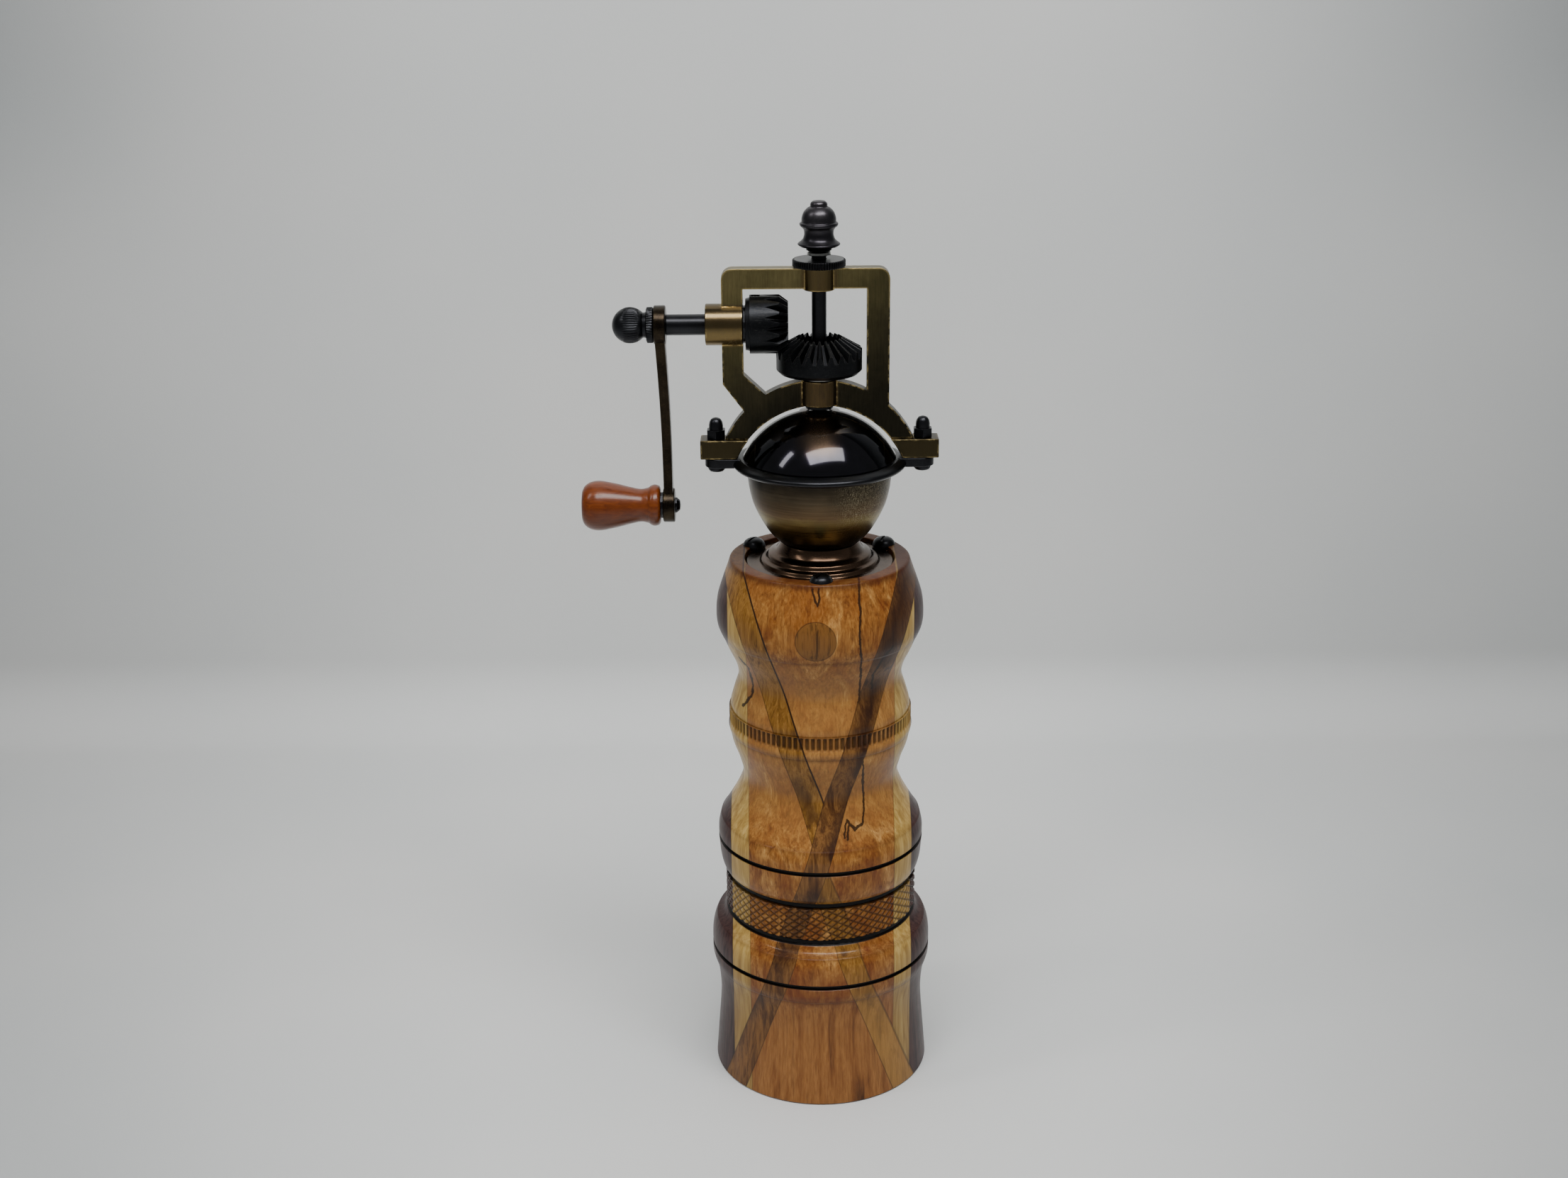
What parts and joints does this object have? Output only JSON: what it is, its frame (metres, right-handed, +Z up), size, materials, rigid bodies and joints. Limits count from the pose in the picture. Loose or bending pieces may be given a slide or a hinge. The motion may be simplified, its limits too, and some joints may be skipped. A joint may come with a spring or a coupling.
{
  "type": "pepper mill",
  "caption": "Hand-cranked pepper mill: turned laminated wood body under a cast bridge with bevel gears, side crank, domed hopper with filler door, and conical burrs in the foot.",
  "frame": {"origin": "on the resting plane, under the middle of the mill's overall width (from the crank knob's end to the right bridge foot); the mill's own axis stands at x = +0.01985 m", "axes": "+Z up along the mill's axis; +X to the right, away from the crank; the crank's axis runs along X; the filler door faces -Y"},
  "size_m": [0.1182, 0.0772, 0.3089],
  "materials": {
    "laminated_wood": "glossy lacquer over a turned lamination of tan, pale yellow and dark purple-brown boards with inlaid bands",
    "knob_wood": "semi-gloss reddish cherry stain",
    "antique_brass": "dark antiqued brass with worn golden edges",
    "bronze_flange": "dark polished bronze",
    "black_nickel": "polished black nickel plate",
    "black_steel": "satin blackened steel",
    "bright_steel": "zinc-plated steel",
    "burr_steel": "hardened cast burrs, matt"
  },
  "bodies": {
    "mill_body": {"wood_body": "laminated_wood", "mount_flange": "bronze_flange", "flange_screw_front": "black_steel", "flange_screw_right": "black_steel", "flange_screw_left": "black_steel", "bowl": "antique_brass", "rim_ring": "black_steel", "dome_shell": "black_nickel", "dome_collar": "black_steel", "bridge_frame": "antique_brass", "bridge_bolt_left": "black_steel", "bridge_bolt_right": "black_steel", "acorn_nut_left": "black_steel", "acorn_nut_right": "black_steel", "stator_burr": "burr_steel", "bearing_spider": "bright_steel", "retaining_strap": "bright_steel", "strap_screw_left": "bright_steel", "strap_screw_right": "bright_steel"},
    "door": {"filler_door": "black_nickel"},
    "spindle": {"ring_gear": "black_steel", "ring_gear_washer": "bright_steel"},
    "driven_shaft": {"drive_shaft": "black_steel", "finial": "black_nickel", "finial_spring": "bright_steel", "rotor_burr": "burr_steel", "rotor_nut": "bright_steel", "burr_spring": "bright_steel"},
    "adjuster": {"adjuster_nut": "black_steel"},
    "crank": {"crank_shaft": "black_steel", "pinion_gear": "black_steel", "pinion_set_screw": "bright_steel", "pinion_washer": "black_steel", "crank_arm": "antique_brass", "ball_nut": "black_nickel", "knob_axle": "black_steel", "knob_spacer": "black_steel", "knob_cap": "black_steel"},
    "knob": {"crank_knob": "knob_wood"}
  },
  "joints": [
    {"name": "crank_turn", "type": "hinge", "parent": "mill_body", "child": "crank", "pos_m": [0.01985, 0, 0.2692], "axis": [1, 0, 0], "continuous": true},
    {"name": "knob_spin", "type": "hinge", "parent": "crank", "child": "knob", "pos_m": [0.01985, 0, 0.2083], "axis": [1, 0, 0], "continuous": true},
    {"name": "spindle_turn", "type": "hinge", "parent": "mill_body", "child": "spindle", "pos_m": [0.01985, 0, 0.2692], "axis": [0, 0, 1], "continuous": true},
    {"name": "grind_adjust", "type": "hinge", "parent": "spindle", "child": "adjuster", "pos_m": [0.01985, 0, 0.29], "axis": [0, 0, -1], "range_deg": [-360, 360]},
    {"name": "shaft_lift", "type": "slide", "parent": "spindle", "child": "driven_shaft", "axis": [0, 0, 1], "range_m": [-0.0008, 0.0008], "deforming": ["burr_spring", "finial_spring"]},
    {"name": "filler_door_turn", "type": "hinge", "parent": "mill_body", "child": "door", "pos_m": [0.01985, 0, 0.2258], "axis": [0, 0, 1], "range_deg": [0, 150]}
  ],
  "couplings": [
    {"joint": "spindle_turn", "follows": "crank_turn", "ratio": -0.66667},
    {"joint": "grind_adjust", "follows": "shaft_lift", "rad_per_m": 7854}
  ]
}
